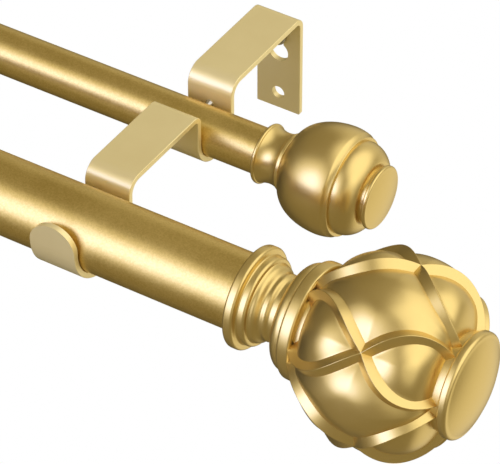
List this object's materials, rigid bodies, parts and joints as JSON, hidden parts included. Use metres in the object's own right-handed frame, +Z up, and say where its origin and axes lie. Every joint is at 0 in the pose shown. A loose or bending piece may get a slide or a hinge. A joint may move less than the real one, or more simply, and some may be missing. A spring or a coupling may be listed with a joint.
{
  "type": "double curtain pole",
  "caption": "Thick front pole with banded ball finials and thin rear pole with turned finials, both telescopic, on folded strip wall brackets.",
  "frame": {"origin": "on the wall, at the centre of the right bracket's round fixing hole, in the plane of the bracket's back face", "axes": "+X along the poles to the right end, +Y into the wall, +Z up"},
  "size_m": [0.8522, 0.1572, 0.0649],
  "materials": {
    "bracket_gold": "fine matt gold coating on folded steel strip",
    "tube_gold": "satin gold coating with fine flake on thin steel tube",
    "finial_gold": "cast resin with a smooth satin gold coating",
    "screw_steel": "bright zinc plated steel",
    "liner_plastic": "moulded natural nylon"
  },
  "bodies": {
    "mounted_poles": {"bracket_right": "bracket_gold", "bracket_left": "bracket_gold", "wall_screw_right": "screw_steel", "wall_screw_left": "screw_steel", "rear_set_screw_right": "screw_steel", "rear_set_screw_left": "screw_steel", "front_set_screw_right": "screw_steel", "front_set_screw_left": "screw_steel", "front_outer_tube": "tube_gold", "front_mouth_ring": "liner_plastic", "front_end_plug_right": "liner_plastic", "front_finial_right": "finial_gold", "front_stud_right": "screw_steel", "rear_outer_tube": "tube_gold", "rear_mouth_ring": "liner_plastic", "rear_end_plug_right": "liner_plastic", "rear_finial_right": "finial_gold", "rear_stud_right": "screw_steel"},
    "front_inner_pole": {"front_inner_tube": "tube_gold", "front_glide": "liner_plastic", "front_end_plug_left": "liner_plastic", "front_finial_left": "finial_gold", "front_stud_left": "screw_steel"},
    "rear_inner_pole": {"rear_inner_tube": "tube_gold", "rear_glide": "liner_plastic", "rear_end_plug_left": "liner_plastic", "rear_finial_left": "finial_gold", "rear_stud_left": "screw_steel"}
  },
  "joints": [
    {"name": "front_extend", "type": "slide", "parent": "mounted_poles", "child": "front_inner_pole", "axis": [-1, 0, 0], "range_m": [0, 0.508]},
    {"name": "rear_extend", "type": "slide", "parent": "mounted_poles", "child": "rear_inner_pole", "axis": [-1, 0, 0], "range_m": [0, 0.508]}
  ]
}
